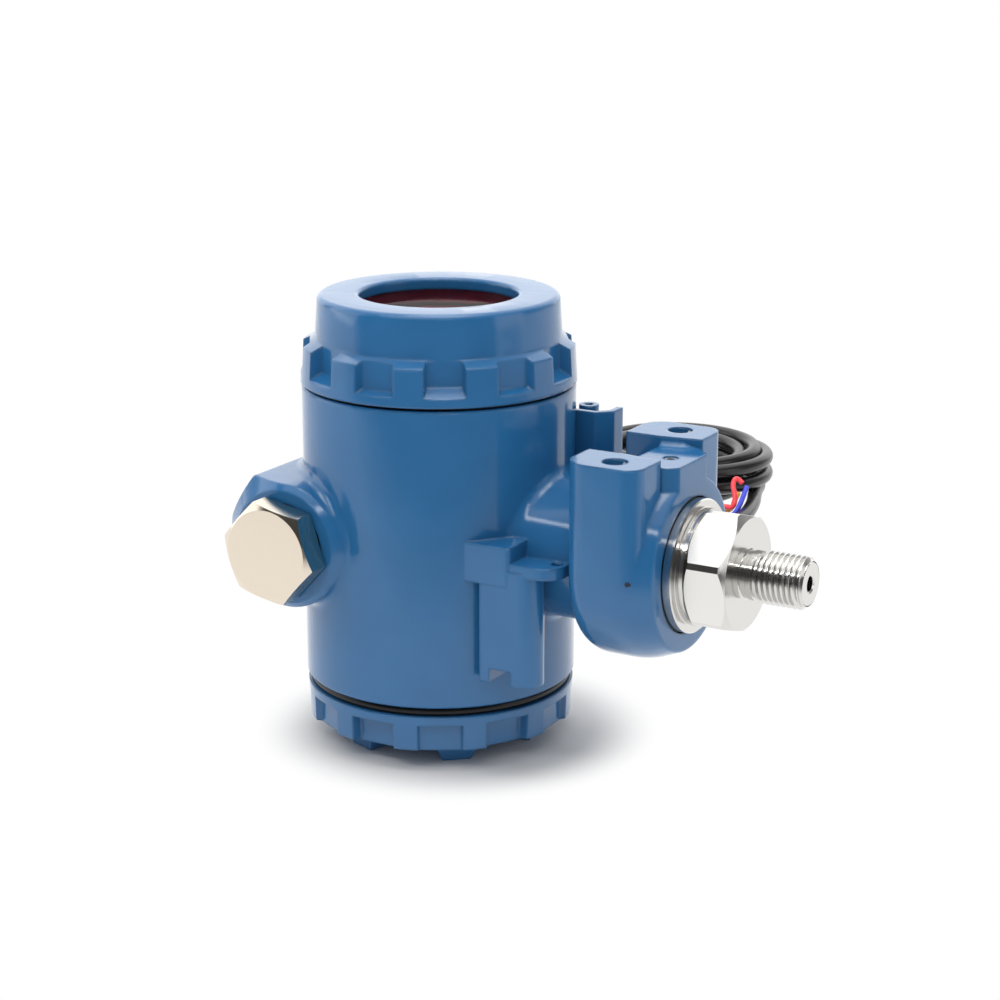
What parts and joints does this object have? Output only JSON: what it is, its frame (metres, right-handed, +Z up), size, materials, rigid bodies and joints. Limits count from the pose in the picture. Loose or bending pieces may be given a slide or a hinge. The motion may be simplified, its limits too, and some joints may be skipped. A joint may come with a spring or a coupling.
{
  "type": "digital pressure gauge",
  "caption": "Pressure gauge head: round cast housing with windowed screw cover, rear cover, side sensor with threaded pressure port, blanked cable entry and gland with cable.",
  "frame": {"origin": "axis of the round housing, in the plane of the rear cover's wrench ribs that it stands on", "axes": "+Z up out of the display window along the housing's axis, +X along the pressure connection, Y along the two cable entries with the cable on +Y"},
  "size_m": [0.1986, 0.3474, 0.1245],
  "materials": {
    "blue_paint": "gloss powder coat",
    "stainless": "turned and polished",
    "nickel": "satin nickel plate",
    "screw_steel": "zinc plated",
    "black_rubber": "matt",
    "red_silicone": "smooth",
    "clear_glass": "polished",
    "board_green": "solder mask",
    "display_dark": "tinted window",
    "potting_black": "cast resin",
    "terminal_grey": "moulded",
    "cable_black": "satin sheath",
    "core_red": "insulation",
    "core_yellow": "insulation",
    "core_blue": "insulation"
  },
  "bodies": {
    "housing": {"cable_coil": "cable_black", "cable_in_gland": "cable_black", "cable_tail": "cable_black", "conduit_plug": "nickel", "display_board": "board_green", "display_panel": "display_dark", "display_screws": "screw_steel", "display_standoffs": "screw_steel", "electronics_module": "potting_black", "gland_body": "nickel", "gland_bush": "black_rubber", "gland_nut": "nickel", "gland_seal": "black_rubber", "housing": "blue_paint", "internal_ground_screw": "screw_steel", "lock_set_screw": "screw_steel", "plug_seal": "black_rubber", "sensor_body": "stainless", "sensor_capsule": "stainless", "sensor_lead": "potting_black", "sensor_oring": "black_rubber", "signal_cable": "cable_black", "terminal_block": "terminal_grey", "terminal_screws": "screw_steel", "wire_blue": "core_blue", "wire_red": "core_red", "wire_yellow": "core_yellow"},
    "display_cap": {"display_cover": "blue_paint", "window_glass": "clear_glass", "window_seal": "red_silicone", "glass_retainer": "screw_steel"},
    "display_seal": {"display_cover_oring": "black_rubber"},
    "rear_cap": {"rear_cover": "blue_paint"},
    "rear_seal": {"rear_cover_oring": "black_rubber"}
  },
  "joints": [
    {"name": "display_cap_rise", "type": "slide", "parent": "housing", "child": "display_seal", "axis": [0, 0, 1], "range_m": [0, 0.0075]},
    {"name": "display_cap_turn", "type": "hinge", "parent": "display_seal", "child": "display_cap", "pos_m": [0, 0, 0.1], "axis": [0, 0, 1], "range_deg": [0, 1800]},
    {"name": "rear_cap_rise", "type": "slide", "parent": "housing", "child": "rear_seal", "axis": [0, 0, -1], "range_m": [0, 0.0075]},
    {"name": "rear_cap_turn", "type": "hinge", "parent": "rear_seal", "child": "rear_cap", "pos_m": [0, 0, 0.0184], "axis": [0, 0, -1], "range_deg": [0, 1800]}
  ],
  "couplings": [
    {"joint": "display_cap_rise", "follows": "display_cap_turn", "m_per_rad": 0.00023873},
    {"joint": "rear_cap_rise", "follows": "rear_cap_turn", "m_per_rad": 0.00023873}
  ]
}
